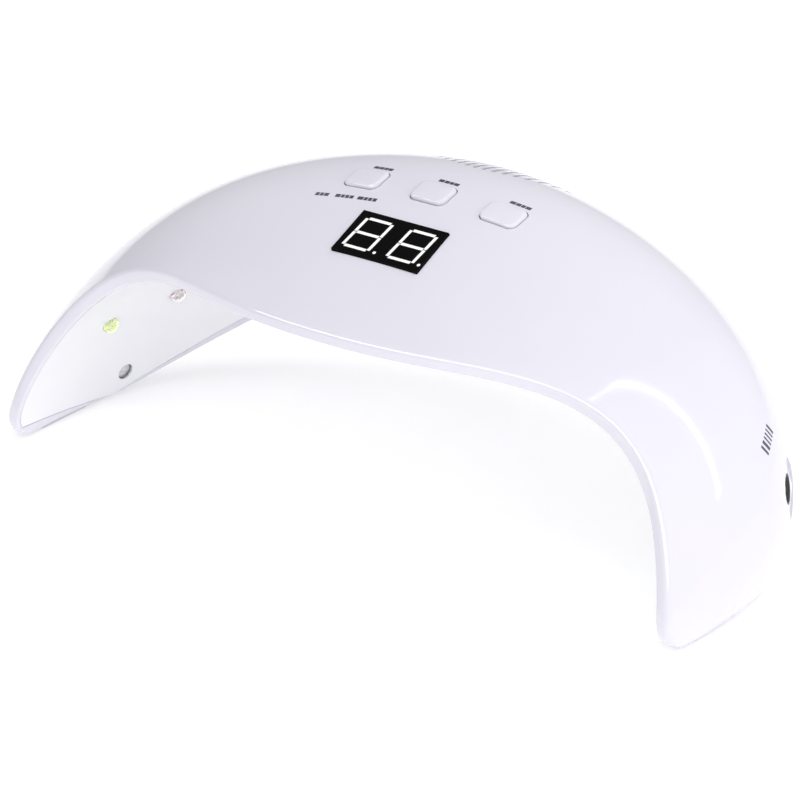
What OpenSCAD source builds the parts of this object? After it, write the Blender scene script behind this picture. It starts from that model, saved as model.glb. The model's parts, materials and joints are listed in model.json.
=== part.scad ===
// Bow-shaped UV curing lamp: a two-legged glossy arch that stands over the work.
// Millimetres, +Z up, -Y towards the user. The origin is on the table under the middle.
// A place on the lamp's skins is given by an angle along the arch, from -90 at the left foot
// to 90 at the right foot, and a share of the depth, from 0 at the front lip to 1 at the rear lip.

/* [Arch outline] */
// Depth from the front lip to the rear lip
lamp_d = 105.8; // [104:0.1:108]
// Height of the covers above the table
foot_lift = 0.5; // [0.3:0.1:0.8]
// Half width between the legs at the front lip
front_half_w = 96.1; // [95:0.1:98]
// Height under the front lip
front_h = 52.9; // [52:0.1:54]
// How far the shoulders of the front lip sit back
front_recess = 14.8; // [14:0.1:16]
// Squareness of the front arch at its top
front_square = 4.38; // [4.2:0.02:4.6]
// Squareness of the front arch at its feet
front_foot = 1.725; // [1.68:0.005:1.78]
// Radius of the front corner of each foot
foot_corner_r = 9; // [8:0.5:10]
// Half width between the legs at the rear lip
rear_half_w = 95.3; // [94.5:0.1:96]
// Height under the rear lip
rear_h = 40.3; // [39:0.1:41]
// Squareness of the rear arch at its top
rear_square = 1.91; // [1.86:0.01:2]
// How far the rear lip stands behind the feet
rear_reach = 70.7; // [69:0.1:72]
// Squareness of the plan of the rear lip at its middle and at its feet
rear_plan = [2, 2]; // [2:0.1:2.2]

/* [Dome] */
// Thickness of the lip between the two skins
lip = 3; // [2.8:0.1:3.4]
// Rise of the dome over the middle of the arch
top_rise = 28.8; // [28:0.1:30]
// Rise of the dome at the feet
leg_rise = 1; // [0.8:0.1:1.2]
// How fast the rise falls off towards the feet
rise_falloff = 1.18; // [1.14:0.01:1.22]
// How late the dome turns sideways towards the feet
rise_turn = 1.39; // [1.34:0.01:1.44]
// Reach and rise of the front and rear handles of the dome's curve over the middle
top_curve = [0.42, 0.73, 0.37, 1.8]; // [0.35:0.01:1.9]
// The same handles at the feet
leg_curve = [0.07, 1.15, 0.14, 2.6]; // [0.05:0.01:2.7]
// Rise of the hand space's ceiling between the lips
ceiling_rise = 8; // [6:0.5:9]

/* [Covers] */
// Wall of the top cover
wall = 2.2; // [2:0.1:2.4]
// Wall of the inner cover
liner = 1.6; // [1.4:0.1:1.8]
// Share of the depth taken by the solid lip at the front
lip_share = 0.03; // [0.025:0.001:0.035]
// Share of the depth taken by the solid lip at the rear
rear_lip_share = 0.04; // [0.038:0.001:0.042]
// Arch angle where the solid sill of each foot starts
sill_angle = 86.5; // [86:0.1:87]
// Number of vent slots
vent_count = 21; // [9:2:21]
// Width of a vent slot
vent_w = 1; // [0.8:0.1:1.2]
// Length of a vent slot
vent_l = 11; // [10:0.5:12]
// Share of the depth at the middle of the middle vent slot
vent_share = 0.65; // [0.64:0.01:0.66]
// How fast the row of vent slots bows back to each side
vent_bow = 0.0008; // [0.0006:0.0001:0.0009]
// Angle between neighbouring vent slots
vent_step = 1.35; // [1.3:0.01:1.4]

/* [Panel] */
// Share of the depth at the middle of the display
panel_share = 0.249; // [0.245:0.001:0.255]
// Slope of the panel, display and control board
panel_tilt = 22.7; // [22.3:0.1:23]
// Width of the display
display_w = 25.1; // [24:0.1:26]
// Length of the display
display_l = 14.3; // [13.5:0.1:15]
// Width of a button cap
button_w = 10.2; // [9:0.1:10.4]
// Length of a button cap
button_l = 7.6; // [6.5:0.1:7.8]
// Corner radius of a button cap
button_r = 2; // [1:0.1:2.5]
// Distance between button centres
button_pitch = 20.2; // [20:0.1:20.6]
// Travel of a button
button_travel = 0.35; // [0.2:0.05:0.4]

/* [Inlet] */
// Arch angle of the power inlet
inlet_angle = 63; // [62:0.5:64]
// Share of the depth at the power inlet
inlet_share = 0.74; // [0.73:0.01:0.75]
// Radius of the inlet's contact pin
pin_r = 1; // [0.9:0.05:1.25]
// Radius of the inlet's socket
socket_r = 3.1; // [2.9:0.05:3.2]

/* [Hidden] */
$fn = 48;
eps = 0.01;
seam = 0.004;
skin_share = 0.3;

// ---- Skins of the lamp ----

function unit(v) = v / norm(v);
function mix(p, q, share) = p * (1 - share) + q * share;
function arch(s, top, foot) = pow(max(0, 1 - pow(abs(s), top)), 1 / foot);
function bezier(p0, p1, p2, p3, t) =
    p0 * pow(1 - t, 3) + p1 * 3 * t * pow(1 - t, 2) + p2 * 3 * t * t * (1 - t) + p3 * pow(t, 3);

// Setback of a round corner of radius r at height z above its base
function corner(z, r) = z >= r ? 0 : r - sqrt(r * r - pow(r - z, 2));

// Lips of the inner skin, or of the outer skin when out is the lip's thickness
function front_lip(a, out) =
    let (z = (front_h + out) * arch(sin(a), front_square, front_foot),
         turn = pow(abs(a) / 90, 1.15))
    [(front_half_w + out) * sin(a),
     front_recess * pow(sin(180 * turn), 2) + corner(z, foot_corner_r) - lamp_d / 2,
     z + foot_lift];
function rear_lip(a, out) =
    [(rear_half_w + out) * sin(a),
     lamp_d / 2 - rear_reach * (1 - arch(sin(a), rear_plan[0], rear_plan[1])),
     (rear_h + out) * arch(sin(a), rear_square, 1) + foot_lift];

// Both skins are Bezier curves from lip to lip, raised away from the hand space
function raised(p, q, h, rise, a, t) =
    let (turn = sign(a) * 90 * pow(abs(a) / 90, rise_turn), up = [sin(turn), 0, cos(turn)] * rise)
    bezier(p, p + h[0] * (q - p) + h[1] * up, q - h[2] * (q - p) + h[3] * up, q, t);
function rise_at(a, low, high) = low + (high - low) * pow(max(0, cos(a)), rise_falloff);
function outer_at(a, t) =
    raised(front_lip(a, lip), rear_lip(a, lip), mix(leg_curve, top_curve, cos(a)),
           rise_at(a, leg_rise, top_rise), a, t);
function inner_at(a, t) =
    raised(front_lip(a, 0), rear_lip(a, 0), [1, 4, 1, 4] / 3, rise_at(a, 0.5, ceiling_rise), a, t);
function gap_at(a, t) = norm(outer_at(a, t) - inner_at(a, t));

// Unit normals, both pointing away from the hand space
function held(a) = max(-86, min(86, a));
function outer_normal(a, t) = let (b = held(a))
    unit(cross(outer_at(b + 1, t) - outer_at(b - 1, t), outer_at(b, t + eps) - outer_at(b, t - eps)));
function inner_normal(a, t) = let (b = held(a))
    unit(cross(inner_at(b + 1, t) - inner_at(b - 1, t), inner_at(b, t + eps) - inner_at(b, t - eps)));

// Inside of the top cover, outside of the inner cover, and a place behind the inner skin
function wall_at(a, t) = outer_at(a, t) - outer_normal(a, t) * min(wall, skin_share * gap_at(a, t));
function liner_at(a, t) = inner_at(a, t) + inner_normal(a, t) * min(liner, skin_share * gap_at(a, t));
function behind(a, t, h) = inner_at(a, t) + inner_normal(a, t) * h;
function in_lip(a, t) = t <= lip_share || t >= 1 - rear_lip_share || abs(a) > sill_angle;

// ---- Building helpers ----

// Closed solid between an outer and an inner skin, over a grid of angles and shares
module loft(angles, shares, outside, inside) {
    na = len(angles);
    nt = len(shares);
    size = na * nt;
    points = concat([for (a = angles) for (t = shares) outside(a, t)],
                    [for (a = angles) for (t = shares) inside(a, t)]);
    // Two triangles of a quad whose corners run clockwise seen from outside
    function quad(p, q, r, s) = [[p, q, r], [p, r, s]];
    faces = concat(
        [for (i = [0 : na - 2]) for (j = [0 : nt - 2]) let (k = i * nt + j)
            each quad(k, k + 1, k + nt + 1, k + nt)],
        [for (i = [0 : na - 2]) for (j = [0 : nt - 2]) let (k = size + i * nt + j)
            each quad(k, k + nt, k + nt + 1, k + 1)],
        [for (i = [0 : na - 2]) let (k = i * nt) each quad(k, k + nt, size + k + nt, size + k)],
        [for (i = [0 : na - 2]) let (k = i * nt + nt - 1)
            each quad(k + nt, k, size + k, size + k + nt)],
        [for (j = [0 : nt - 2]) each quad(j + 1, j, size + j, size + j + 1)],
        [for (j = [0 : nt - 2]) let (k = (na - 1) * nt + j)
            each quad(k, k + 1, size + k + 1, size + k)]);
    polyhedron(points, faces);
}

// Round tube swept along a route of points
module tube(route, r, sides = 8) {
    n = len(route);
    function along(i) = unit(route[min(i + 1, n - 1)] - route[max(i - 1, 0)]);
    function ring(i) = let (d = along(i), u = unit(cross(d, [0.3, 0.2, 1])), v = cross(d, u))
        [for (k = [0 : sides - 1]) let (turn = 360 * k / sides)
            route[i] + r * (u * cos(turn) + v * sin(turn))];
    points = [for (i = [0 : n - 1]) each ring(i)];
    faces = concat([[for (k = [0 : sides - 1]) k]],
        [for (i = [0 : n - 2]) for (k = [0 : sides - 1])
            let (p = i * sides + k, q = i * sides + (k + 1) % sides)
            each [[p, p + sides, q + sides], [p, q + sides, q]]],
        [[for (k = [sides - 1 : -1 : 0]) (n - 1) * sides + k]]);
    polyhedron(points, faces);
}

// Children placed at a point with +Z along a direction
module at(p, direction) {
    z = unit(direction);
    x = unit(cross([0, 1, 0.01], z));
    y = cross(z, x);
    multmatrix([[x[0], y[0], z[0], p[0]], [x[1], y[1], z[1], p[1]], [x[2], y[2], z[2], p[2]]])
        children();
}

// Children on the sloped panel: x to the right, y up the slope, z out of the panel
module on_panel(x = 0, y = 0, z = 0) {
    translate(outer_at(0, panel_share)) rotate([panel_tilt, 0, 0]) translate([x, y, z]) children();
}

// Children under the arch at a place [angle, share], with +Z away from the hand space
module on_liner(p) {
    at(inner_at(p[0], p[1]), inner_normal(p[0], p[1])) children();
}

module rounded_plate(w, l, r, h) {
    linear_extrude(h) union() {
        square([w - 2 * r, l], center = true);
        square([w, l - 2 * r], center = true);
        for (x = [-1, 1], y = [-1, 1]) translate([x * (w / 2 - r), y * (l / 2 - r)]) circle(r);
    }
}

module block(w, l, h) {
    translate([-w / 2, -l / 2, 0]) cube([w, l, h]);
}

// ---- Levels and places, measured on the panel ----

face_z = 0.2;
board_z = -7.2;
board_t = 1.2;
board_w = 54;
board_y = [-7.2, 24];
board_back_z = board_z - board_t;
posts = [[-20, 1], [20, 1], [-10.25, 20.5], [10.25, 20.5]];
post_r = 2.2;
post_top = -2;
button_y = 18.8;
button_xs = [-button_pitch, 0, button_pitch];
button_tops = [-0.9, 0.25, -0.9];
button_slope = 9;
button_lean = 7;
flange_z = -5.2;
flange_t = 0.6;
flange_rim = [2, 1.6];
cap_gap = 0.3;
switch_h = 1.2;
switch_w = 5.2;
plunger_r = 1.1;
plunger_sunk = 0.6;
trim = 20;

// Beads as [angle, share], front row first
beads = concat([for (a = [-63.5, -38, -12.5, 12.5, 38, 63.5]) [a, 0.335]],
               [for (a = [-54, -32, -10.5, 10.5, 32, 54]) [a, 0.53]]);
bead_z = 2.6;
package_h = 0.9;
package_w = 3.4;
lens_z = 0.3;
lens_r = 2.3;
led_board_t = 1;
led_board_shares = [0.29, 0.38, 0.47, 0.56, 0.64];
sensor_x = 5;
sensor_share = 0.225;
sensor_r = 1.5;

// Screws of the inner cover, with the height where each boss meets the top cover
screws = [[-76, 0.78], [76, 0.78], [-22, 0.8], [22, 0.8]];
boss_tops = [6.6, 6.6, 12.7, 12.7];
boss_r = 2.6;
cup_h = 3.2;
cup_r = 3.5;
screw_r = 0.9;

jack_r = 3.9;
jack_w = 11.2;
jack_turn = -60;
jack_corner_r = 1.6;
jack_deep = 9;
jack_face = -0.9;
jack_plate_t = 1.6;
jack_floor = 1.1;
pin_tip = -1.5;
pin_root_r = 0.8;
wire_r = 0.6;

foot_x = 98;
foot_y = -32;
foot_pad = [2, 18, 1.3];

// Grid of the skins, with close pairs of lines where the wall steps into a lip or a sill
sill_step = 0.24;
span = [for (a = [-76 : 4 : 76]) a];
angles = concat([-90, -88.5, -sill_angle - sill_step, -sill_angle, -83, -79.5], span,
                [79.5, 83, sill_angle, sill_angle + sill_step, 88.5, 90]);
depth_shares = [for (t = [0.13 : 0.0775 : 0.91]) t];
shares = concat([0, lip_share, lip_share + seam, 0.07], depth_shares,
                [1 - rear_lip_share - seam, 1 - rear_lip_share, 1]);

// Edges of the inner cover, just inside the lips and sills
liner_angle = sill_angle - 0.9;
liner_shares = concat([lip_share + 0.012, 0.07], depth_shares, [1 - rear_lip_share - 0.03]);

// ---- Covers ----

module rounded_slot(w, l, h) {
    linear_extrude(h) union() {
        square([w, l - w], center = true);
        for (y = [-1, 1]) translate([0, y * (l - w) / 2]) circle(w / 2);
    }
}

module vents() {
    for (k = [0 : vent_count - 1]) {
        a = (k - (vent_count - 1) / 2) * vent_step;
        share = vent_share + vent_bow * a * a;
        at(outer_at(a, share), outer_normal(a, share))
            translate([0, 0, -2 * wall]) rounded_slot(vent_w, vent_l, 4 * wall);
    }
}

// Opening for a button, with a pocket below it for the rim that keeps the cap in
module button_opening(x) {
    on_panel(x, button_y, flange_z)
        rounded_plate(button_w + 2 * cap_gap, button_l + 2 * cap_gap, button_r + cap_gap, trim);
    on_panel(x, button_y, flange_z - 1)
        rounded_plate(button_w + flange_rim[0] + 2 * cap_gap, button_l + flange_rim[1] + 2 * cap_gap,
                      button_r + cap_gap, 1 + flange_t + cap_gap);
}

module foot_groove(side) {
    translate([side * foot_x, foot_y, -1])
        rounded_slot(foot_pad[0] + 0.2, foot_pad[1] + 0.2, foot_pad[2] + 1.1);
}

module at_inlet() {
    at(outer_at(inlet_angle, inlet_share), outer_normal(inlet_angle, inlet_share))
        rotate([0, 0, jack_turn]) children();
}

module top_cover() {
    color("white") difference() {
        union() {
            loft(angles, shares, function(a, t) outer_at(a, t),
                 function(a, t) in_lip(a, t) ? inner_at(a, t) : wall_at(a, t));
            for (p = posts) on_panel(p[0], p[1], board_z) cylinder(r = post_r, h = post_top - board_z);
            for (k = [0 : len(screws) - 1]) on_liner(screws[k]) translate([0, 0, cup_h + 0.1])
                cylinder(r = boss_r, h = boss_tops[k] - cup_h - 0.1);
        }
        on_panel(0, 0, board_z) block(display_w + 0.3, display_l + 0.3, trim);
        for (x = button_xs) button_opening(x);
        vents();
        at_inlet() translate([0, 0, jack_face - jack_plate_t - 1.5])
            rounded_plate(jack_w + 0.3, jack_w + 0.3, jack_corner_r + 0.15, trim);
        for (p = posts) on_panel(p[0], p[1], board_z - eps) cylinder(r = screw_r + 0.05, h = 2.6);
        for (s = screws) on_liner(s) translate([0, 0, cup_h]) cylinder(r = screw_r + 0.05, h = 2);
        for (side = [-1, 1]) foot_groove(side);
    }
}

module inner_cover() {
    color("whitesmoke") difference() {
        union() {
            loft(concat([-liner_angle, -83, -79.5], span, [79.5, 83, liner_angle]), liner_shares,
                 function(a, t) liner_at(a, t), function(a, t) inner_at(a, t));
            for (s = screws) on_liner(s) translate([0, 0, 0.5]) cylinder(r = cup_r, h = cup_h - 0.5);
        }
        for (b = beads) on_liner(b) translate([0, 0, -cup_r]) cylinder(r = lens_r + 0.25, h = 2 * cup_r);
        for (s = screws) on_liner(s) translate([0, 0, -cup_r]) {
            cylinder(r = 2.3, h = cup_r + cup_h - 1);
            cylinder(r = screw_r + 0.25, h = 3 * cup_r);
        }
        for (side = [-1, 1]) at_sensor(side) translate([0, 0, -cup_r])
            cylinder(r = sensor_r + 0.2, h = 2 * cup_r);
    }
}

// ---- Display and buttons ----

segment_t = 0.85;
segment_gap = 0.12;
digit_x = 6.5;
digit_w = 8.3;
digit_l = 10.8;
digit_lean = 4;
point_x = 5.3;
point_r = 0.45;
digit_deep = 0.5;

// Bars of one figure eight, leaning like italic figures, and its decimal point
module digit(h) {
    across = digit_w - 2 * (segment_t + segment_gap);
    upright = (digit_l - segment_t) / 2 - 2 * segment_gap;
    linear_extrude(h) multmatrix([[1, tan(digit_lean), 0, 0], [0, 1, 0, 0], [0, 0, 1, 0]]) {
        for (y = [-1, 0, 1]) translate([0, y * (digit_l - segment_t) / 2])
            square([across, segment_t], center = true);
        for (x = [-1, 1], y = [-1, 1])
            translate([x * (digit_w - segment_t) / 2, y * (digit_l - segment_t) / 4])
                square([segment_t, upright], center = true);
    }
    translate([point_x, -(digit_l - segment_t) / 2, 0]) cylinder(r = point_r, h = h);
}

module digits(h) {
    for (x = [-digit_x, digit_x]) on_panel(x, 0, face_z - digit_deep) digit(h);
}

module display_body() {
    color("black") difference() {
        on_panel(0, 0, board_z) block(display_w, display_l, face_z - board_z);
        digits(2 * digit_deep);
    }
}

module display_digits() {
    color("white") digits(digit_deep);
}

module button_cap(k) {
    x = button_xs[k];
    color("white") difference() {
        union() {
            on_panel(x, button_y, flange_z) rounded_plate(button_w, button_l, button_r, 7);
            on_panel(x, button_y, flange_z)
                rounded_plate(button_w + flange_rim[0], button_l + flange_rim[1], button_r, flange_t);
        }
        on_panel(x, button_y, button_tops[k]) rotate([-button_slope, (k - 1) * button_lean, 0])
            block(trim, trim, trim);
    }
}

module plunger(k) {
    color("dimgray") on_panel(button_xs[k], button_y, board_z + plunger_sunk)
        cylinder(r = plunger_r, h = flange_z - board_z - plunger_sunk);
}

module tact_switches() {
    color("silver") for (x = button_xs) on_panel(x, button_y, board_z) difference() {
        block(switch_w, switch_w, switch_h);
        translate([0, 0, 0.2]) cylinder(r = plunger_r + 0.15, h = switch_h);
    }
}

// ---- Control board ----

module control_board() {
    color("darkgreen") difference() {
        on_panel(0, (board_y[0] + board_y[1]) / 2, board_back_z)
            block(board_w, board_y[1] - board_y[0], board_t);
        for (p = posts) on_panel(p[0], p[1], board_back_z - 1) cylinder(r = screw_r + 0.2, h = 4);
    }
}

module board_screws() {
    color("silver") for (p = posts) on_panel(p[0], p[1], board_back_z) {
        translate([0, 0, -1.1]) cylinder(r = 1.8, h = 1.1);
        translate([0, 0, -eps]) cylinder(r = screw_r, h = board_t + 2.3);
    }
}

// Children hung under the board, with +Z down away from it
module under_board(x, y) {
    on_panel(x, y, board_back_z) mirror([0, 0, 1]) children();
}

module microcontroller() {
    color("dimgray") under_board(0, 7) block(9.9, 3.9, 1.5);
}

module driver_chips() {
    color("dimgray") for (x = [-9, 9]) under_board(x, 13) block(4.9, 3.9, 1.5);
}

module resistors() {
    color("black") for (k = [0 : 7]) under_board(-12.25 + 3.5 * k, 2) block(1.2, 2, 0.5);
}

module diodes() {
    color("black") for (x = [-16.5, 16.5]) under_board(x, 8) block(2.6, 4.3, 2.2);
}

module capacitors() {
    color("dimgray") for (x = [-19.5, 19.5]) under_board(x, 13.5) cylinder(r = 3.2, h = 5.8);
}

module inductor() {
    color("gray") under_board(0, 15.5) rounded_plate(7, 7, 1, 4);
}

module board_connectors() {
    color("ivory") for (x = [-24, 24]) under_board(x, 6.5) block(5, 5.8, 2.6);
    color("ivory") under_board(22, 20.5) block(6, 5, 3.6);
}

// ---- Light and sensing ----

module led_board(from, to, shares) {
    steps = ceil((to - from) / 4);
    color("lightgray") loft([for (i = [0 : steps]) from + (to - from) * i / steps], shares,
        function(a, t) behind(a, t, bead_z + led_board_t), function(a, t) behind(a, t, bead_z));
}

module led_board_left() {
    led_board(-70, -46, led_board_shares);
}

module led_board_crown() {
    led_board(-44, 44, led_board_shares);
}

module led_board_right() {
    led_board(46, 70, led_board_shares);
}

module led_packages() {
    color("yellow") for (b = beads) on_liner(b) translate([0, 0, bead_z - package_h - 0.35])
        block(package_w, package_w, package_h);
}

// Clear dome over each bead, standing out of its hole in the inner cover
module led_lenses() {
    color("lightcyan", 0.5) for (b = beads) on_liner(b) {
        translate([0, 0, lens_z]) cylinder(r = lens_r, h = 0.8);
        translate([0, 0, lens_z + eps]) intersection() {
            sphere(lens_r);
            translate([0, 0, -2 * lens_r]) cylinder(r = 2 * lens_r, h = 2 * lens_r);
        }
    }
}

module at_sensor(side) {
    on_liner([side * asin(sensor_x / front_half_w), sensor_share]) children();
}

module sensor(side) {
    at_sensor(side) {
        cylinder(r = sensor_r, h = 2);
        sphere(sensor_r);
    }
}

module sensor_emitter() {
    color("lightcyan") sensor(-1);
}

module sensor_receiver() {
    color("black") sensor(1);
}

module sensor_leads() {
    color("silver") for (side = [-1, 1], x = [-0.6, 0.6])
        at_sensor(side) translate([x, 0, 2]) cylinder(r = 0.22, h = 0.8);
}

// ---- Inlet ----

// Round barrel jack behind a square plate that fills the cover's opening
module dc_jack() {
    plate_z = jack_deep + jack_face - jack_plate_t;
    color("black") at_inlet() translate([0, 0, -jack_deep]) difference() {
        union() {
            cylinder(r = jack_r, h = plate_z + eps);
            translate([0, 0, plate_z]) rounded_plate(jack_w, jack_w, jack_corner_r, jack_plate_t);
        }
        translate([0, 0, jack_floor]) cylinder(r = socket_r, h = jack_deep);
        translate([0, 0, -eps]) cylinder(r = pin_root_r, h = 2 * jack_floor);
    }
}

// Contact pin: thin where it is set in the jack's floor, full size above it
module jack_pin() {
    color("silver") at_inlet() translate([0, 0, -jack_deep]) {
        cylinder(r = pin_root_r, h = jack_floor + eps);
        translate([0, 0, jack_floor]) cylinder(r = pin_r, h = jack_deep + pin_tip - jack_floor);
    }
}

module jack_tags() {
    color("silver") at_inlet() for (y = [-2, 2]) translate([0, y, -jack_deep - 0.8]) block(1.4, 0.4, 0.8);
}

// ---- Wiring, along the hollow between the covers ----

// Route between two places [angle, share], part of the way from the outer to the inner skin
function wire_route(from, to, deep) = [for (i = [0 : 12]) let (p = mix(from, to, i / 12))
    mix(outer_at(p[0], p[1]), inner_at(p[0], p[1]), deep)];

module power_wire_red() {
    color("red") tube(wire_route([57, 0.74], [24, 0.56], 0.5), wire_r);
}

module power_wire_black() {
    color("black") tube(wire_route([57, 0.78], [24, 0.6], 0.5), wire_r);
}

// Pair of wires looped over the gap between two boards of beads
module led_wires(side) {
    low = bead_z + led_board_t + 0.7;
    for (t = [0.42, 0.46]) tube([for (a = [41 : 49]) behind(side * a, t, low + 0.8 * sin(22.5 * (a - 41)))],
                                wire_r);
}

module led_wires_left() {
    color("white") led_wires(-1);
}

module led_wires_right() {
    color("white") led_wires(1);
}

module feed_wires() {
    color("white") for (a = [12.6, 14.4]) tube([for (i = [0 : 6]) behind(a, 0.4, 4.3 + i * 0.6)], wire_r);
}

// ---- Fasteners and feet ----

module cover_screws() {
    color("silver") for (s = screws) on_liner(s) {
        translate([0, 0, 0.8]) cylinder(r = 2, h = cup_h - 1.8);
        translate([0, 0, cup_h - 1 - eps]) cylinder(r = screw_r, h = 2.7);
    }
}

module rubber_feet() {
    color("lightgray") for (side = [-1, 1])
        translate([side * foot_x, foot_y, 0]) rounded_slot(foot_pad[0], foot_pad[1], foot_pad[2]);
}

top_cover();
inner_cover();
display_body();
display_digits();
button_cap(0);  // button_left
button_cap(1);  // button_middle
button_cap(2);  // button_right
plunger(0);  // plunger_left
plunger(1);  // plunger_middle
plunger(2);  // plunger_right
tact_switches();
control_board();
board_screws();
microcontroller();
driver_chips();
resistors();
diodes();
capacitors();
inductor();
board_connectors();
led_board_left();
led_board_crown();
led_board_right();
led_packages();
led_lenses();
sensor_emitter();
sensor_receiver();
sensor_leads();
dc_jack();
jack_pin();
jack_tags();
power_wire_red();
power_wire_black();
led_wires_left();
led_wires_right();
feed_wires();
cover_screws();
rubber_feet();
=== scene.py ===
import json
from math import asin, cos, degrees, pi, radians, sin, tan

import bmesh
import bpy
import numpy as np
from mathutils import Matrix, Vector
from mathutils.bvhtree import BVHTree


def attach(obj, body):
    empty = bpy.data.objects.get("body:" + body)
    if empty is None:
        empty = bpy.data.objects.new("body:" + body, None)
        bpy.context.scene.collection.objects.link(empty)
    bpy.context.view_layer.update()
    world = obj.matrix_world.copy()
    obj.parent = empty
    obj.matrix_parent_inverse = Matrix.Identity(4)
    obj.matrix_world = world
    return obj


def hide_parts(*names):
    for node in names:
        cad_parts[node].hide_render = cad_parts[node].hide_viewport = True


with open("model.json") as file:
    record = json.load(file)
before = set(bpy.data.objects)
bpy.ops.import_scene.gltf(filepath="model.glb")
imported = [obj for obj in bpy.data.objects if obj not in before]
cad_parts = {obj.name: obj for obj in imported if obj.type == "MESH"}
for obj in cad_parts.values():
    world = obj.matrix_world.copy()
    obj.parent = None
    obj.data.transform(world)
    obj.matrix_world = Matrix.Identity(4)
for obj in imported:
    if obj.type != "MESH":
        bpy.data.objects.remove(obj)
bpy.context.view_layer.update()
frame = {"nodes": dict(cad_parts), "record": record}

MM = 0.001
LAMP = "lamp"
nodes = frame["nodes"]

# ---- Outline of the lamp in millimetres, as in the CAD part ----

LAMP_D = 105.8
FOOT_LIFT = 0.5
FRONT_HALF_W, FRONT_H, FRONT_RECESS = 96.1, 52.9, 14.8
FRONT_SQUARE, FRONT_FOOT, FOOT_CORNER_R = 4.38, 1.725, 9
REAR_HALF_W, REAR_H, REAR_SQUARE, REAR_REACH = 95.3, 40.3, 1.91, 70.7
REAR_PLAN = (2, 2)
LIP, TOP_RISE, LEG_RISE = 3, 28.8, 1
RISE_FALLOFF, RISE_TURN = 1.18, 1.39
TOP_CURVE = np.array([0.42, 0.73, 0.37, 1.8])
LEG_CURVE = np.array([0.07, 1.15, 0.14, 2.6])
CEILING_RISE = 8
WALL, LINER, SKIN_SHARE = 2.2, 1.6, 0.3
LIP_SHARE, REAR_LIP_SHARE, SILL_ANGLE = 0.03, 0.04, 86.5
PANEL_SHARE, PANEL_TILT = 0.249, 22.7
DISPLAY_W, DISPLAY_L = 25.1, 14.3
BUTTON_W, BUTTON_L, BUTTON_R, BUTTON_PITCH, BUTTON_Y = 10.2, 7.6, 2, 20.2, 18.8
BUTTON_TOPS, BUTTON_SLOPE, BUTTON_LEAN = (-0.9, 0.25, -0.9), 9, 7
FLANGE_Z, FLANGE_T, FLANGE_RIM = -5.2, 0.6, (2, 1.6)
VENT_COUNT, VENT_W, VENT_L, VENT_SHARE, VENT_STEP, VENT_BOW = 21, 1, 11, 0.65, 1.35, 0.0008
INLET_ANGLE, INLET_SHARE, JACK_TURN = 63, 0.74, -60
JACK_W, JACK_CORNER_R, JACK_R, SOCKET_R = 11.2, 1.6, 3.9, 3.1
JACK_DEEP, JACK_FACE, JACK_PLATE_T, JACK_FLOOR = 9, -0.9, 1.6, 1.1
LENS_R, SENSOR_R, SENSOR_X, SENSOR_SHARE = 2.3, 1.5, 5, 0.225
BEADS = ([(a, 0.335) for a in (-63.5, -38, -12.5, 12.5, 38, 63.5)]
         + [(a, 0.53) for a in (-54, -32, -10.5, 10.5, 32, 54)])
SCREWS = [(-76, 0.78), (76, 0.78), (-22, 0.8), (22, 0.8)]
SCREW_HOLE_R = 2.3
FOOT_X, FOOT_Y, FOOT_PAD = 98, -32, (2, 18, 1.3)

# ---- Finer shapes that the CAD part leaves plain, in millimetres ----

SNUG = np.array([0.9998, 1, 0.9984])  # keeps the smooth dome inside the faceted CAD dome
COVER_RINGS, COVER_STEPS, HOLLOW_STEPS = 173, 76, 40
LINER_RINGS, LINER_STEPS, LINER_BACK_STEPS = 131, 60, 40
LIP_EDGE_R, INNER_EDGE_R, SOLE_R = 1.3, 0.5, 0.9
LEDGE = 0.003                         # share of the section between a lip and the hollow
# Gaps round a piece in its opening, both sides together
DISPLAY_GAP, BUTTON_GAP, JACK_GAP, FOOT_GAP, LENS_GAP, SENSOR_GAP = 0.3, 0.5, 0.3, 0.2, 0.12, 0.3
CAP_FILLET, CAP_EDGE_DROP, CAP_CROWN = 0.85, 0.05, 0.16
CUP_RIM_R, CUP_R, CUP_BORE_R = 3.1, 3.5, 1.15
CUP_LEVELS = (0.4, 0.9, 2.2, 3.2)
PRINT_LIFT, PRINT_SINK, PRINT_CELL = 0.03, 0.05, 0.4
LABELS = {"left": -19.2, "middle": 0.7, "right": 21.3}
LABEL_Y, LABEL_WIDTHS, LABEL_H = 24.3, (1.5, 1.3, 1, 1.4), 1.1
MODE_PLACE, MODE_TURN, MODE_H = (-21.4, 10.9, 0), 5, 1.15
MODE_WORDS = ((-6.6, (1.1, 1, 1.3)), (0, (1.4, 1, 1, 1.1)), (6.6, (1.6, 1, 1, 1.1)))
RATING_PLACE, RATING_WIDTHS, RATING_H = (56.3, 0.565), (0.7, 0.9, 0.5, 0.5, 0.5, 0.7), 3

# ---- Camera and floor, in degrees and metres ----

CAMERA_AZIMUTH, CAMERA_ELEVATION, CAMERA_DISTANCE, CAMERA_LENS = 36.3, 24.31, 1.0, 180.59
LOOK_AT = (-0.0146, 0.00067, 0.01497)
FLOOR_SIZE, FLOOR_CELLS = 20.0, 12


def arch(s, top, foot):
    """Height of an arch from 1 in the middle to 0 at s = -1 and 1, flatter with larger powers."""
    return np.clip(1 - np.abs(s) ** top, 0, 1) ** (1 / foot)


def front_lip(a, out):
    """Front edge at arch angle a, a distance out from the hand opening."""
    s = np.sin(np.radians(a))
    z = (FRONT_H + out) * arch(s, FRONT_SQUARE, FRONT_FOOT)
    turn = (np.abs(a) / 90) ** 1.15
    low = np.clip(FOOT_CORNER_R - z, 0, None)
    back = FRONT_RECESS * np.sin(np.pi * turn) ** 2
    corner = FOOT_CORNER_R - np.sqrt(FOOT_CORNER_R ** 2 - low ** 2)
    return np.stack([(FRONT_HALF_W + out) * s, back + corner - LAMP_D / 2, z + FOOT_LIFT], -1)


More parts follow.
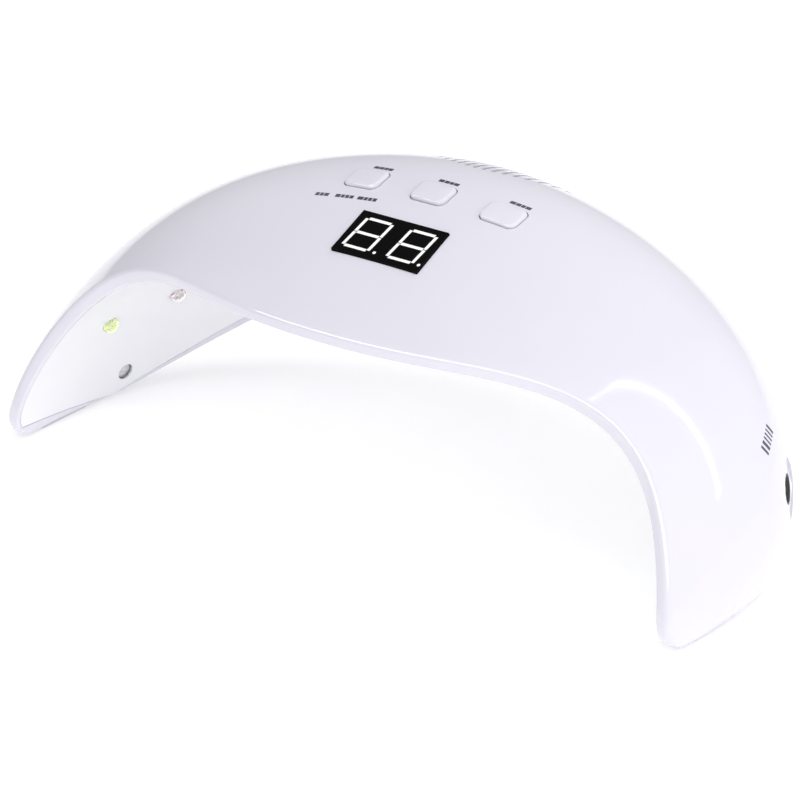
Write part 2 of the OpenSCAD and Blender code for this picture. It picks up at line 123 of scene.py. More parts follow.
def rear_lip(a, out):
    """Rear edge at arch angle a, which comes forward towards the feet."""
    s = np.sin(np.radians(a))
    return np.stack([(REAR_HALF_W + out) * s,
                     LAMP_D / 2 - REAR_REACH * (1 - arch(s, *REAR_PLAN)),
                     (REAR_H + out) * arch(s, REAR_SQUARE, 1) + FOOT_LIFT], -1)


def raised(p, q, h, rise, a, t):
    """Bezier curve from lip to lip, raised away from the hand space."""
    turn = np.sign(a) * pi / 2 * (np.abs(a) / 90) ** RISE_TURN
    up = np.stack([np.sin(turn), 0 * turn, np.cos(turn)], -1) * rise[..., None]
    h = [np.asarray(v)[..., None] for v in h]
    t = t[..., None]
    p1 = p + h[0] * (q - p) + h[1] * up
    p2 = q - h[2] * (q - p) + h[3] * up
    return p * (1 - t) ** 3 + p1 * 3 * t * (1 - t) ** 2 + p2 * 3 * t * t * (1 - t) + q * t ** 3


def rise_at(a, low, high):
    """How far a section bulges, from low at the feet to high at the crown."""
    return low + (high - low) * np.clip(np.cos(np.radians(a)), 0, 1) ** RISE_FALLOFF


def both(a, t):
    return np.broadcast_arrays(np.asarray(a, float), np.asarray(t, float))


def outer_at(a, t):
    """Outer skin at arch angle a and share t of the way from the front lip to the rear lip."""
    a, t = both(a, t)
    c = np.cos(np.radians(a))
    handles = [low * (1 - c) + high * c for low, high in zip(LEG_CURVE, TOP_CURVE)]
    return raised(front_lip(a, LIP), rear_lip(a, LIP), handles,
                  rise_at(a, LEG_RISE, TOP_RISE), a, t)


def inner_at(a, t):
    """Inner skin, over the hand space."""
    a, t = both(a, t)
    handles = [v / 3 + 0 * a for v in (1, 4, 1, 4)]
    return raised(front_lip(a, 0), rear_lip(a, 0), handles,
                  rise_at(a, 0.5, CEILING_RISE), a, t)


def normal_of(skin, a, t):
    a, t = both(a, t)
    b = np.clip(a, -86, 86)
    n = np.cross(skin(b + 1, t) - skin(b - 1, t), skin(b, t + 0.01) - skin(b, t - 0.01))
    return n / np.linalg.norm(n, axis=-1, keepdims=True)


def wall_at(a, t):
    """Inside of the top cover's wall."""
    gap = np.linalg.norm(outer_at(a, t) - inner_at(a, t), axis=-1)
    deep = np.minimum(WALL, SKIN_SHARE * gap)[..., None]
    return outer_at(a, t) - normal_of(outer_at, a, t) * deep


def liner_at(a, t):
    """Hidden side of the inner cover."""
    gap = np.linalg.norm(outer_at(a, t) - inner_at(a, t), axis=-1)
    deep = np.minimum(LINER, SKIN_SHARE * gap)[..., None]
    return inner_at(a, t) + normal_of(inner_at, a, t) * deep


# ---- Placing ----

def placed(p, direction):
    """Matrix in metres with +Z along a direction, as the CAD part's at()."""
    z = Vector(direction).normalized()
    x = Vector((0, 1, 0.01)).cross(z).normalized()
    y = z.cross(x)
    m = Matrix((x, y, z)).transposed().to_4x4()
    m.translation = Vector(p) * MM
    return m @ Matrix.Scale(MM, 4)


def on_outer(a, t):
    return placed(outer_at(a, t), normal_of(outer_at, a, t))


def at_inlet():
    turn = Matrix.Rotation(radians(JACK_TURN), 4, "Z")
    return on_outer(INLET_ANGLE, INLET_SHARE) @ turn


def on_liner(a, t):
    return placed(inner_at(a, t), normal_of(inner_at, a, t))


def on_panel():
    m = Matrix.Translation(Vector(outer_at(0, PANEL_SHARE)) * MM)
    return m @ Matrix.Rotation(radians(PANEL_TILT), 4, "X") @ Matrix.Scale(MM, 4)


# ---- Mesh helpers ----

def mesh_piece(name, verts, faces, matrix=None):
    mesh = bpy.data.meshes.new(name)
    if matrix is not None:
        verts = [matrix @ Vector(v) for v in verts]
    mesh.from_pydata([tuple(v) for v in verts], [], faces)
    mesh.validate()
    obj = bpy.data.objects.new(name, mesh)
    bpy.context.scene.collection.objects.link(obj)
    return obj


def outward(obj):
    bm = bmesh.new()
    bm.from_mesh(obj.data)
    bmesh.ops.recalc_face_normals(bm, faces=bm.faces)
    bm.to_mesh(obj.data)
    bm.free()


def smooth(obj, angle=40):
    obj.data.polygons.foreach_set("use_smooth", [True] * len(obj.data.polygons))
    obj.data.set_sharp_from_angle(angle=radians(angle))


def rounded_rect(w, l, r, steps=8):
    points = []
    for cx, cy, start in ((1, 1, 0), (-1, 1, 90), (-1, -1, 180), (1, -1, 270)):
        for k in range(steps + 1):
            g = radians(start + 90 * k / steps)
            points.append((cx * (w / 2 - r) + r * cos(g), cy * (l / 2 - r) + r * sin(g)))
    return points


def even(outline, count=96):
    """The same closed outline with points at even steps along it."""
    points = np.array(outline + outline[:1])
    run = np.concatenate([[0], np.cumsum(np.linalg.norm(np.diff(points, axis=0), axis=1))])
    at = np.linspace(0, run[-1], count, endpoint=False)
    return list(zip(np.interp(at, run, points[:, 0]), np.interp(at, run, points[:, 1])))


def circle(r, steps=40):
    return [(r * cos(2 * pi * k / steps), r * sin(2 * pi * k / steps)) for k in range(steps)]


def lofted(name, loops, matrix=None, closed_ends=True):
    """Solid through loops that all have the same number of points."""
    n = len(loops[0])
    verts = [p for loop in loops for p in loop]
    faces = []
    for i in range(len(loops) - 1):
        for k in range(n):
            a, b = i * n + k, i * n + (k + 1) % n
            faces.append((a, b, b + n, a + n))
    if closed_ends:
        faces.append(tuple(reversed(range(n))))
        faces.append(tuple(range((len(loops) - 1) * n, len(loops) * n)))
    obj = mesh_piece(name, verts, faces, matrix)
    outward(obj)
    return obj


def prism(name, outline, low, high, matrix):
    return lofted(name, [[(x, y, z) for x, y in outline] for z in (low, high)], matrix)


def joined(name, objs):
    verts, faces = [], []
    for o in objs:
        base = len(verts)
        verts += [v.co.copy() for v in o.data.vertices]
        faces += [tuple(base + i for i in p.vertices) for p in o.data.polygons]
        bpy.data.objects.remove(o)
    return mesh_piece(name, verts, faces)


def carve(obj, cutters):
    """Cuts the cutters out of obj, keeping the smooth shading of its skin."""
    skin = obj.data.copy()
    tree = BVHTree.FromPolygons([v.co for v in skin.vertices], [p.vertices for p in skin.polygons])
    cutter = joined(obj.name + "_cutter", cutters)
    mod = obj.modifiers.new("openings", "BOOLEAN")
    mod.object, mod.operation, mod.solver = cutter, "DIFFERENCE", "EXACT"
    cut = bpy.data.meshes.new_from_object(obj.evaluated_get(bpy.context.evaluated_depsgraph_get()))
    obj.modifiers.clear()
    obj.data = cut
    bpy.data.objects.remove(cutter)
    shade_like(cut, skin, tree)


def shade_like(mesh, skin, tree):
    """Takes each corner's normal from the uncut skin, except on the walls of the openings."""
    mesh.polygons.foreach_set("use_smooth", [True] * len(mesh.polygons))
    corner_normals = [Vector()] * len(mesh.loops)
    cache = {}
    for poly in mesh.polygons:
        for i in poly.loop_indices:
            v = mesh.loops[i].vertex_index
            if v not in cache:
                cache[v] = skin_normal(mesh.vertices[v].co, skin, tree)
            n = cache[v]
            corner_normals[i] = n if n.dot(poly.normal) > 0.8 else poly.normal.copy()
    mesh.normals_split_custom_set(corner_normals)


def skin_normal(co, skin, tree):
    hit, _, index, _ = tree.find_nearest(co)
    near = [skin.vertices[i] for i in skin.polygons[index].vertices]
    total = Vector()
    for v in near:
        total += v.normal / ((v.co - hit).length + 1e-7)
    return total.normalized()


# ---- Materials ----

def new_material(name):
    mat = bpy.data.materials.new(name)
    mat.use_nodes = True
    tree = mat.node_tree
    return mat, tree, tree.nodes["Principled BSDF"]


def noise(tree, scale, detail=4.0, stretch=(1, 1, 1)):
    coord = tree.nodes.new("ShaderNodeTexCoord")
    mapping = tree.nodes.new("ShaderNodeMapping")
    mapping.inputs["Scale"].default_value = stretch
    tex = tree.nodes.new("ShaderNodeTexNoise")
    tex.inputs["Scale"].default_value = scale
    tex.inputs["Detail"].default_value = detail
    tree.links.new(coord.outputs["Object"], mapping.inputs["Vector"])
    tree.links.new(mapping.outputs["Vector"], tex.inputs["Vector"])
    return tex.outputs["Fac"]


def two_tone(tree, shader, fac, dark, light, low=0.35, high=0.65):
    ramp = tree.nodes.new("ShaderNodeValToRGB")
    ramp.color_ramp.elements[0].position = low
    ramp.color_ramp.elements[1].position = high
    ramp.color_ramp.elements[0].color = (*dark, 1)
    ramp.color_ramp.elements[1].color = (*light, 1)
    tree.links.new(fac, ramp.inputs["Fac"])
    tree.links.new(ramp.outputs["Color"], shader.inputs["Base Color"])


def vary(tree, fac, socket, low, high):
    span = tree.nodes.new("ShaderNodeMapRange")
    span.inputs["To Min"].default_value = low
    span.inputs["To Max"].default_value = high
    tree.links.new(fac, span.inputs["Value"])
    tree.links.new(span.outputs["Result"], socket)


def bump(tree, shader, fac, strength, distance):
    node = tree.nodes.new("ShaderNodeBump")
    node.inputs["Strength"].default_value = strength
    node.inputs["Distance"].default_value = distance
    tree.links.new(fac, node.inputs["Height"])
    tree.links.new(node.outputs["Normal"], shader.inputs["Normal"])


def moulded(name, dark, light, rough, grain=900, grain_depth=0.00002, strength=0.2, **sockets):
    """Moulded plastic, metal or board: slow colour drift, uneven gloss and a fine grain."""
    mat, tree, shader = new_material(name)
    two_tone(tree, shader, noise(tree, 18, 3), dark, light)
    vary(tree, noise(tree, 60, 5), shader.inputs["Roughness"], *rough)
    bump(tree, shader, noise(tree, grain, 3), strength, grain_depth)
    for socket, value in sockets.items():
        shader.inputs[socket.replace("_", " ")].default_value = value
    return mat


def brushed(name, dark, light, rough):
    mat, tree, shader = new_material(name)
    lines = noise(tree, 500, 4, (1, 1, 14))
    two_tone(tree, shader, lines, dark, light)
    vary(tree, lines, shader.inputs["Roughness"], *rough)
    bump(tree, shader, lines, 0.15, 0.00002)
    shader.inputs["Metallic"].default_value = 1
    return mat


def circuit_green():
    """Solder mask with lighter copper areas showing through as short straight runs."""
    mat, tree, shader = new_material("circuit_green")
    brick = tree.nodes.new("ShaderNodeTexBrick")
    coord = tree.nodes.new("ShaderNodeTexCoord")
    brick.inputs["Scale"].default_value = 260
    brick.inputs["Mortar Size"].default_value = 0.09
    brick.inputs["Color1"].default_value = (0.02, 0.17, 0.07, 1)
    brick.inputs["Color2"].default_value = (0.025, 0.2, 0.085, 1)
    brick.inputs["Mortar"].default_value = (0.05, 0.3, 0.13, 1)
    tree.links.new(coord.outputs["Object"], brick.inputs["Vector"])
    tree.links.new(brick.outputs["Color"], shader.inputs["Base Color"])
    bump(tree, shader, brick.outputs["Fac"], 0.2, 0.00003)
    vary(tree, noise(tree, 200), shader.inputs["Roughness"], 0.3, 0.42)
    return mat


def lens_clear():
    """Slightly frosted resin."""
    mat, tree, shader = new_material("lens_clear")
    two_tone(tree, shader, noise(tree, 400), (0.9, 0.9, 0.9), (0.96, 0.96, 0.97))
    vary(tree, noise(tree, 700), shader.inputs["Roughness"], 0.22, 0.32)
    shader.inputs["Transmission Weight"].default_value = 0.85
    shader.inputs["IOR"].default_value = 1.3
    return mat


def phosphor():
    """Yellow-green under the front row of beads and pale pink under the second row."""
    mat, tree, shader = new_material("phosphor")
    coord = tree.nodes.new("ShaderNodeTexCoord")
    parts = tree.nodes.new("ShaderNodeSeparateXYZ")
    row = tree.nodes.new("ShaderNodeMapRange")
    row.inputs["From Min"].default_value = -0.011
    row.inputs["From Max"].default_value = -0.010
    tree.links.new(coord.outputs["Object"], parts.inputs["Vector"])
    tree.links.new(parts.outputs["Y"], row.inputs["Value"])
    two_tone(tree, shader, row.outputs["Result"], (0.68, 0.88, 0.12), (1, 0.86, 0.84), 0, 1)
    vary(tree, noise(tree, 1500), shader.inputs["Roughness"], 0.45, 0.65)
    glow = tree.nodes.new("ShaderNodeMapRange")
    glow.inputs["To Min"].default_value = 3.5
    glow.inputs["To Max"].default_value = 2.2
    tree.links.new(row.outputs["Result"], glow.inputs["Value"])
    tree.links.new(glow.outputs["Result"], shader.inputs["Emission Strength"])
    tint = shader.inputs["Base Color"].links[0].from_socket
    tree.links.new(tint, shader.inputs["Emission Color"])
    return mat


MATERIALS = {
    "gloss_white": moulded("gloss_white", (0.72, 0.705, 0.785), (0.75, 0.735, 0.81), (0.07, 0.11),
                           700, 0.000004, 0.12, Coat_Weight=0.35, Coat_Roughness=0.05, IOR=1.5),
    "liner_white": moulded("liner_white", (0.84, 0.84, 0.875), (0.87, 0.87, 0.895), (0.16, 0.24),
                           500, 0.000006, 0.12, Coat_Weight=0.2, Coat_Roughness=0.12, IOR=1.5),
    "display_black": moulded("display_black", (0.001, 0.001, 0.001), (0.003, 0.003, 0.0035),
                             (0.3, 0.4), 900, 0.000004, 0.1, Specular_IOR_Level=0.05),
    "display_white": moulded("display_white", (0.82, 0.84, 0.83), (0.92, 0.94, 0.93), (0.35, 0.5),
                             Emission_Color=(0.95, 1.0, 0.97, 1), Emission_Strength=0.15),
    "black_plastic": moulded("black_plastic", (0.012, 0.012, 0.013), (0.03, 0.03, 0.032),
                             (0.35, 0.5)),
    "chip_black": moulded("chip_black", (0.02, 0.02, 0.022), (0.045, 0.045, 0.05), (0.55, 0.7)),
    "board_green": circuit_green(),
    "steel": brushed("steel", (0.5, 0.5, 0.52), (0.72, 0.72, 0.73), (0.22, 0.38)),
    "can_aluminium": brushed("can_aluminium", (0.68, 0.68, 0.7), (0.84, 0.84, 0.86), (0.3, 0.45)),
    "ferrite": moulded("ferrite", (0.07, 0.07, 0.075), (0.14, 0.14, 0.15), (0.6, 0.75)),
    "ivory_plastic": moulded("ivory_plastic", (0.74, 0.7, 0.58), (0.8, 0.76, 0.65), (0.35, 0.5)),
    "phosphor": phosphor(),
    "lens_clear": lens_clear(),
    "wire_red": moulded("wire_red", (0.5, 0.02, 0.015), (0.62, 0.04, 0.03), (0.35, 0.5)),
    "wire_black": moulded("wire_black", (0.012, 0.012, 0.012), (0.03, 0.03, 0.03), (0.35, 0.5)),
    "wire_white": moulded("wire_white", (0.7, 0.7, 0.68), (0.8, 0.8, 0.78), (0.35, 0.5)),
    "foot_rubber": moulded("foot_rubber", (0.5, 0.5, 0.53), (0.6, 0.6, 0.62), (0.55, 0.7)),
    "print_grey": moulded("print_grey", (0.05, 0.04, 0.08), (0.10, 0.09, 0.14), (0.4, 0.55)),
}


def paint(obj, slot):
    obj.data.materials.clear()
    obj.data.materials.append(MATERIALS[slot])


def finished(obj, slot, body, *replaced):
    paint(obj, slot)
    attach(obj, body)
    if replaced:
        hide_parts(*replaced)


# ---- Covers ----

def spaced(count, tight=1.25):
    """Angles from -90 to 90, closer together towards the feet."""
    s = np.linspace(-1, 1, count)
    return 90 * np.sign(s) * (1 - (1 - np.abs(s)) ** tight)


def shares(low, high, count):
    """Shares from low to high, closer together towards both lips."""
    k = 0.5 - 0.5 * np.cos(np.pi * np.linspace(0, 1, count))
    return low + (high - low) * (0.35 * np.linspace(0, 1, count) + 0.65 * k)


def rounded_corner(before, corner, after, r, steps=6):
    """Points round a corner of a section, r along each side of it."""
    p = before - corner
    q = after - corner
    p = corner + p * (r / np.linalg.norm(p))
    q = corner + q * (r / np.linalg.norm(q))
    return [p * (1 - s) ** 2 + corner * 2 * s * (1 - s) + q * s * s
            for s in np.linspace(0, 1, steps)]


def away(skin, a, corner_t, toward, r):
    """Share at which the skin is r from the lip at corner_t, going towards another share."""
    step = (toward - corner_t) * 0.01
    speed = np.linalg.norm(skin(a, corner_t + step) - skin(a, corner_t)) / abs(step)
    return corner_t + np.sign(toward - corner_t) * r / speed


def cover_section(a):
    """Closed section of the top cover at one arch angle, starting and ending at the rear lip."""
    a = float(a)
    front_o, front_i = outer_at(a, 0.0), inner_at(a, 0.0)
    rear_o, rear_i = outer_at(a, 1.0), inner_at(a, 1.0)
    t0 = away(outer_at, a, 0.0, 1.0, LIP_EDGE_R)
    t1 = away(outer_at, a, 1.0, 0.0, LIP_EDGE_R)
    front_ledge, rear_ledge = inner_at(a, LIP_SHARE), inner_at(a, 1 - REAR_LIP_SHARE)
    points = list(outer_at(a, shares(t0, t1, COVER_STEPS)[::-1]))
    points += rounded_corner(outer_at(a, t0), front_o, front_i, LIP_EDGE_R)[1:]
    points += rounded_corner(front_o, front_i, front_ledge, INNER_EDGE_R)
    inside = shares(LIP_SHARE + LEDGE, 1 - REAR_LIP_SHARE - LEDGE, HOLLOW_STEPS)
    hollow = inner_at if abs(a) > SILL_ANGLE else wall_at
    points += [front_ledge] + list(hollow(a, inside)) + [rear_ledge]
    points += rounded_corner(rear_ledge, rear_i, rear_o, INNER_EDGE_R)
    points += rounded_corner(rear_i, rear_o, outer_at(a, t1), LIP_EDGE_R)[:-1]
    return np.array(points)


def soft_sole(section):
    """Draws a section in near the table, so that the sole has rounded edges."""
    r = SOLE_R
    mid = section[:, :2].mean(axis=0)
    h = np.clip(section[:, 2] - FOOT_LIFT, 0, r)
    inset = r - np.sqrt(r * r - (r - h) ** 2)
    side = np.sign(mid[0])
    half = np.abs(section[:, 0]) - np.median(np.abs(section[:, 0]))
    section[:, 0] -= side * np.sign(half) * np.minimum(inset, np.abs(half) * 0.9)
    return section


def top_cover():
    angles = [float(a) for a in spaced(COVER_RINGS)]
    angles = [a for a in angles if abs(abs(a) - SILL_ANGLE) > 0.3]
    angles = sorted(angles + [s * (SILL_ANGLE + d) for s in (-1, 1) for d in (0, 0.1)])
    loops = [soft_sole(cover_section(a)) if abs(a) > 80 else cover_section(a) for a in angles]
    cover = lofted("cover_shell", [[tuple(p * SNUG * MM) for p in loop] for loop in loops])
    carve(cover, cover_cutters())
    finished(cover, "gloss_white", LAMP, "top_cover")


def cover_cutters():
    """Openings for the display, buttons, vents, inlet and feet, all well past the wall."""
    panel = on_panel()
    window = rounded_rect(DISPLAY_W + DISPLAY_GAP, DISPLAY_L + DISPLAY_GAP, 0.25, 3)
    cutters = [prism("c", window, -8, 6, panel)]
    for k in (-1, 0, 1):
        at_button = panel @ Matrix.Translation((k * BUTTON_PITCH, BUTTON_Y, 0))
        outline = rounded_rect(BUTTON_W + BUTTON_GAP, BUTTON_L + BUTTON_GAP,
                               BUTTON_R + BUTTON_GAP / 2)
        cutters.append(prism("c", outline, FLANGE_Z, 6, at_button))
    for k in range(VENT_COUNT):
        a = (k - (VENT_COUNT - 1) / 2) * VENT_STEP
        vent = on_outer(a, VENT_SHARE + VENT_BOW * a * a)
        cutters.append(prism("c", rounded_rect(VENT_W, VENT_L, VENT_W / 2 - 0.01), -5, 5, vent))
    port = rounded_rect(JACK_W + JACK_GAP, JACK_W + JACK_GAP, JACK_CORNER_R + JACK_GAP / 2)
    cutters.append(prism("c", port, -4, 8, at_inlet()))
    for side in (-1, 1):
        groove = Matrix.Translation((side * FOOT_X * MM, FOOT_Y * MM, 0)) @ Matrix.Scale(MM, 4)
        outline = rounded_rect(FOOT_PAD[0] + FOOT_GAP, FOOT_PAD[1] + FOOT_GAP, 1.09)
        cutters.append(prism("c", outline, -1, FOOT_PAD[2] + FOOT_GAP / 2, groove))
    return cutters


def inner_cover():
    front = shares(LIP_SHARE + LEDGE, 1 - REAR_LIP_SHARE - LEDGE, LINER_STEPS)
    back = shares(LIP_SHARE + 0.012, 1 - REAR_LIP_SHARE - 0.03, LINER_BACK_STEPS)[::-1]
    loops = []
    for a in np.linspace(-SILL_ANGLE + 0.15, SILL_ANGLE - 0.15, LINER_RINGS):
        section = list(inner_at(a, front)) + list(liner_at(a, back))
        loops.append([tuple(p * MM) for p in section])
    liner = lofted("liner_shell", loops)
    cutters = [prism("c", circle(LENS_R + LENS_GAP / 2), -4, 4, on_liner(*b)) for b in BEADS]
    cutters += [prism("c", circle(SCREW_HOLE_R), -4, 4, on_liner(*s)) for s in SCREWS]
    for side in (-1, 1):
        place = on_liner(side * degrees(asin(SENSOR_X / FRONT_HALF_W)), SENSOR_SHARE)
        cutters.append(prism("c", circle(SENSOR_R + SENSOR_GAP / 2), -4, 4, place))
    carve(liner, cutters)
    finished(liner, "liner_white", LAMP, "inner_cover")


def screw_cups():
    """Round cup with a floor behind each screw hole of the inner cover."""
    rim, shoulder, seat, bottom = CUP_LEVELS
    rings = [(SCREW_HOLE_R, rim), (SCREW_HOLE_R, seat), (CUP_BORE_R, seat), (CUP_BORE_R, bottom),
             (CUP_R, bottom), (CUP_R, shoulder), (CUP_RIM_R, rim)]
    loops = [[(x, y, z) for x, y in circle(r)] for r, z in rings + rings[:1]]
    cups = []
    for k, s in enumerate(SCREWS):
        cup = lofted(f"cup_{k}", loops, on_liner(*s), closed_ends=False)
        cups.append(cup)
    cup = joined("screw_cups", cups)
    smooth(cup)
    finished(cup, "liner_white", LAMP)


# ---- Buttons ----

def cap_top(k, x, y):
    """Height of a button's top, which falls to the rear and outwards."""
    return BUTTON_TOPS[k + 1] - tan(radians(BUTTON_SLOPE)) * y - k * tan(radians(BUTTON_LEAN)) * x


def cap_ring(k, inset, drop):
    outline = rounded_rect(BUTTON_W - 2 * inset, BUTTON_L - 2 * inset, max(BUTTON_R - inset, 0.2))
    return [(x, y, cap_top(k, x, y) - drop) for x, y in outline]


def button_cap(name, k):
    """Cap with a flange under the panel, a rounded rim and a slightly domed top."""
    flange = rounded_rect(BUTTON_W + FLANGE_RIM[0], BUTTON_L + FLANGE_RIM[1], BUTTON_R)
    neck = rounded_rect(BUTTON_W, BUTTON_L, BUTTON_R)
    loops = [[(x, y, FLANGE_Z) for x, y in flange],
             [(x, y, FLANGE_Z + FLANGE_T) for x, y in flange],
             [(x, y, FLANGE_Z + FLANGE_T) for x, y in neck]]
    for step in range(7):
        g = radians(90 * step / 6)
        inset, drop = CAP_FILLET * (1 - cos(g)), CAP_FILLET * (1 - sin(g))
        loops.append(cap_ring(k, inset, drop + CAP_EDGE_DROP))
    edge = [(x, y) for x, y, z in cap_ring(k, CAP_FILLET, 0)]
    for s in (0.9, 0.75, 0.55, 0.3, 0.08):
        drop = CAP_EDGE_DROP - CAP_CROWN * (1 - s * s)
        loops.append([(x * s, y * s, cap_top(k, x * s, y * s) - drop) for x, y in edge])
    panel = on_panel() @ Matrix.Translation((k * BUTTON_PITCH, BUTTON_Y, 0))
    cap = lofted("cap_" + name, loops, panel)
    smooth(cap, 50)
    finished(cap, "gloss_white", "key_" + name, "button_" + name)


# ---- Printed marks and the inlet ----

def printed(name, tree, matrix, bars):
    """Thin printed bars (x, width, length) in a row that follow the outer skin."""
    verts, faces = [], []
    up = (matrix.to_3x3() @ Vector((0, 0, 1))).normalized()
    for x, w, l in bars:
        nx, ny = (max(2, int(side / PRINT_CELL) + 1) for side in (w, l))
        base = len(verts)
        for level in (PRINT_LIFT, -PRINT_SINK):
            for i in range(nx):
                for j in range(ny):
                    across, along = w * (i / (nx - 1) - 0.5), l * (j / (ny - 1) - 0.5)
                    start = matrix @ Vector((x + across, along, 6))
                    hit = tree.ray_cast(start, -up)[0]
                    verts.append((hit if hit else start) + up * level * MM)
        faces += plate_faces(base, nx, ny)
    piece = mesh_piece(name, verts, faces)
    outward(piece)
    finished(piece, "print_grey", LAMP)


def plate_faces(base, nx, ny):
    """Faces of a thin plate: a grid of points on top, the same below, and the rim between."""
    size = nx * ny
    faces = []
    for i in range(nx - 1):
        for j in range(ny - 1):
            k = base + i * ny + j
            faces.append((k, k + ny, k + ny + 1, k + 1))
            faces.append((size + k, size + k + 1, size + k + ny + 1, size + k + ny))
    rim = [i * ny for i in range(nx)] + [(nx - 1) * ny + j for j in range(1, ny)]
    rim += [i * ny + ny - 1 for i in range(nx - 2, -1, -1)] + list(range(ny - 2, 0, -1))
    for p, q in zip(rim, rim[1:] + rim[:1]):
        faces.append((base + p, base + p + size, base + q + size, base + q))
    return faces


def dashes(centre, widths, height, gap):
    """Row of short bars (x, width, length) about a centre."""
    bars, x = [], centre - (sum(widths) + gap * (len(widths) - 1)) / 2
    for w in widths:
        bars.append((x + w / 2, w, height))
        x += w + gap
    return bars


def panel_marks(tree):
    panel = on_panel()
    for name, x in LABELS.items():
        place = panel @ Matrix.Translation((x, LABEL_Y, 0))
        printed("label_" + name, tree, place, dashes(0, LABEL_WIDTHS, LABEL_H, 0.2))
    bars = [bar for centre, widths in MODE_WORDS for bar in dashes(centre, widths, MODE_H, 0.25)]
    turn = Matrix.Rotation(radians(MODE_TURN), 4, "Z")
    printed("mode_mark", tree, panel @ Matrix.Translation(MODE_PLACE) @ turn, bars)


def rating_marks(tree):
    """Row of plain bars above the inlet."""
    place = on_outer(*RATING_PLACE) @ Matrix.Rotation(radians(JACK_TURN + 180), 4, "Z")
    printed("rating_marks", tree, place, dashes(-1, RATING_WIDTHS, RATING_H, 0.75))


def inlet():
    """White square plate with a black barrel socket in it."""
    place = at_inlet()
    square = even(rounded_rect(JACK_W, JACK_W, JACK_CORNER_R, 9))
    soft = even(rounded_rect(JACK_W - 0.5, JACK_W - 0.5, JACK_CORNER_R - 0.25, 9))
    hole = [Vector(p).normalized() * (JACK_R - 0.15) for p in square]
    back = JACK_FACE - JACK_PLATE_T
    loops = [[(x, y, back) for x, y in hole], [(x, y, back) for x, y in square],
             [(x, y, JACK_FACE - 0.25) for x, y in square], [(x, y, JACK_FACE) for x, y in soft],
             [(x, y, JACK_FACE) for x, y in hole], [(x, y, back) for x, y in hole]]
    plate = lofted("port_plate", loops, place, closed_ends=False)
    smooth(plate)
    finished(plate, "gloss_white", LAMP)
    rings = [(JACK_R, -JACK_DEEP), (JACK_R, back), (JACK_R - 0.2, back),
             (JACK_R - 0.2, JACK_FACE - 0.2), (JACK_R - 0.4, JACK_FACE),
             (SOCKET_R + 0.25, JACK_FACE), (SOCKET_R, JACK_FACE - 0.3),
             (SOCKET_R, JACK_FLOOR - JACK_DEEP)]
    barrel = lofted("jack_barrel", [[(x, y, z) for x, y in circle(r, 48)] for r, z in rings], place)
    smooth(barrel)
    finished(barrel, "black_plastic", LAMP, "dc_jack")


# ---- CAD nodes that are shown as they are ----

BEVELS = {"display_body": 0.12, "rubber_feet": 0.25, "cover_screws": 0.12, "jack_pin": 0.15}


def carried_over():
    slots = {s["node"]: s["material_slot"] for s in frame["record"]["subparts"]}
    for name, obj in nodes.items():
        paint(obj, slots[name])
        if name in BEVELS:
            mod = obj.modifiers.new("soft_edges", "BEVEL")
            mod.width = BEVELS[name] * MM
            mod.segments = 3
            mod.limit_method = "ANGLE"
            mod.angle_limit = radians(50)


# ---- Camera, light and floor ----

def floor():
    n = FLOOR_CELLS + 1
    steps = [FLOOR_SIZE * (i / FLOOR_CELLS - 0.5) for i in range(n)]
    corners = [i * n + j for i in range(FLOOR_CELLS) for j in range(FLOOR_CELLS)]
    obj = mesh_piece("floor", [(x, y, 0) for x in steps for y in steps],
                     [(k, k + n, k + n + 1, k + 1) for k in corners])
    pale = moulded("floor_pale", (0.93, 0.93, 0.93), (0.95, 0.95, 0.95), (0.6, 0.7), 300, 0.00001,
                   0.05, Emission_Color=(1, 1, 1, 1), Emission_Strength=0.24)
    obj.data.materials.append(pale)


def area_light(name, size, power, matrix):
    data = bpy.data.lights.new(name, "AREA")
    data.shape = "RECTANGLE"
    data.size, data.size_y = size
    data.energy = power
    obj = bpy.data.objects.new(name, data)
    obj.matrix_world = matrix
    bpy.context.scene.collection.objects.link(obj)
    return obj


def soft_light(name, place, target, size, power):
    """Large light that fills the scene without an outline in the gloss of the covers."""
    turn = (Vector(target) - Vector(place)).to_track_quat("-Z", "Y").to_matrix().to_4x4()
    area_light(name, size, power, Matrix.Translation(place) @ turn).visible_glossy = False


def studio_world():
    """Even pale surround, darker on the lamp's left side."""
    world = bpy.data.worlds.new("studio")
    world.use_nodes = True
    tree = world.node_tree
    coord = tree.nodes.new("ShaderNodeTexCoord")
    parts = tree.nodes.new("ShaderNodeSeparateXYZ")
    tree.links.new(coord.outputs["Generated"], parts.inputs["Vector"])
    ramp = tree.nodes.new("ShaderNodeMapRange")
    span = {"From Min": -0.9, "From Max": 0.3, "To Min": 0.38, "To Max": 0.92}
    for socket, value in span.items():
        ramp.inputs[socket].default_value = value
    tree.links.new(parts.outputs["X"], ramp.inputs["Value"])
    tree.links.new(ramp.outputs["Result"], tree.nodes["Background"].inputs["Strength"])
    tree.nodes["Background"].inputs["Color"].default_value = (0.99, 0.99, 1, 1)
    bpy.context.scene.world = world


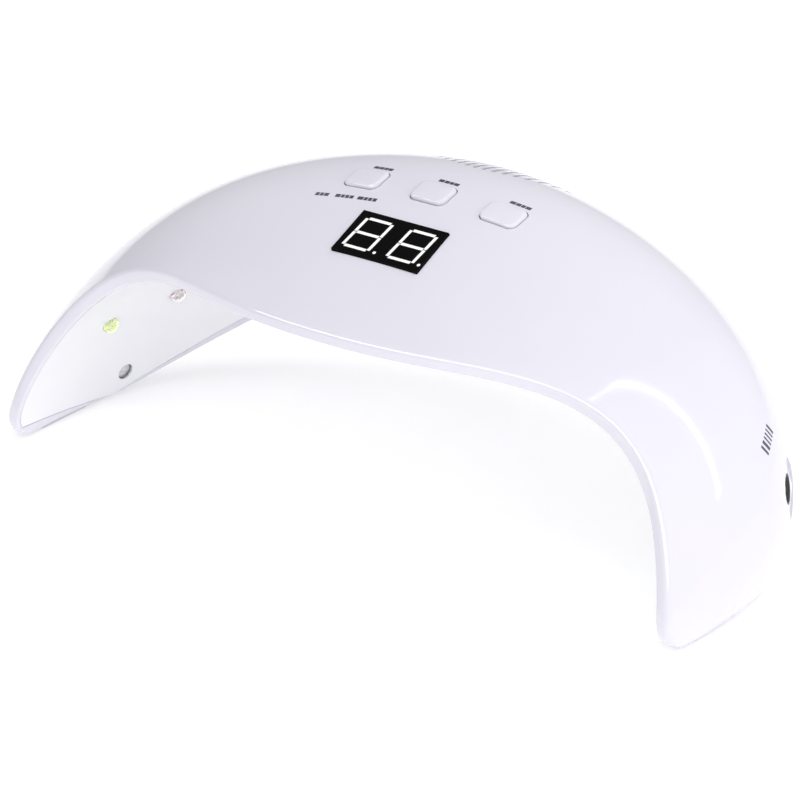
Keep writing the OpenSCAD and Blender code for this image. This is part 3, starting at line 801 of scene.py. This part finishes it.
def lights():
    bpy.context.scene.view_settings.view_transform = "Standard"
    soft_light("softbox_top", (0.1, -0.2, 1.3), (0, 0, 0), (1.4, 1.2), 6.3)
    soft_light("softbox_right", (1.1, -0.35, 0.4), (0, 0, 0.03), (0.9, 0.6), 2.3)
    strip_light("strip_shoulder", (0.25, 0.151, 1.1), (0.567, 0.19, 0.263),
                (0.07, 0.02, 0.05), 0.016, 0.3)
    strip_light("strip_front", (-1.1, -0.75, 0.75), (0.9, -1.15, 0.75),
                (0, -0.05, 0.05), 0.3, 14)


def strip_light(name, start, end, target, width, power):
    """Long thin light between two points, facing the lamp, seen only as a highlight."""
    start, end = Vector(start), Vector(end)
    middle, along = (start + end) / 2, (end - start).normalized()
    back = middle - Vector(target)
    back = (back - along * back.dot(along)).normalized()
    turn = Matrix((along, back.cross(along), back)).transposed().to_4x4()
    size = ((end - start).length, width)
    area_light(name, size, power, Matrix.Translation(middle) @ turn).visible_diffuse = False


def camera():
    azimuth, elevation = radians(CAMERA_AZIMUTH), radians(CAMERA_ELEVATION)
    back = Vector((sin(azimuth) * cos(elevation), -cos(azimuth) * cos(elevation), sin(elevation)))
    data = bpy.data.cameras.new("camera")
    data.sensor_width = 36
    data.lens = CAMERA_LENS
    data.clip_end = 20
    obj = bpy.data.objects.new("camera", data)
    obj.location = Vector(LOOK_AT) + back * CAMERA_DISTANCE
    obj.rotation_euler = (-back).to_track_quat("-Z", "Y").to_euler()
    bpy.context.scene.collection.objects.link(obj)
    bpy.context.scene.camera = obj


def skin_tree():
    """Tree of the outer skin, in metres, that the printed marks are laid on."""
    a, t = np.linspace(-80, 80, 321), np.linspace(0.02, 0.98, 241)
    grid = outer_at(a[:, None], t[None, :]) * SNUG * MM
    n = len(t)
    faces = [(i * n + j, i * n + n + j, i * n + n + j + 1, i * n + j + 1)
             for i in range(len(a) - 1) for j in range(n - 1)]
    return BVHTree.FromPolygons([tuple(p) for p in grid.reshape(-1, 3)], faces)


def build():
    camera()
    studio_world()
    lights()
    floor()
    carried_over()
    top_cover()
    inner_cover()
    screw_cups()
    for name, k in (("left", -1), ("middle", 0), ("right", 1)):
        button_cap(name, k)
    inlet()
    tree = skin_tree()
    panel_marks(tree)
    rating_marks(tree)


build()
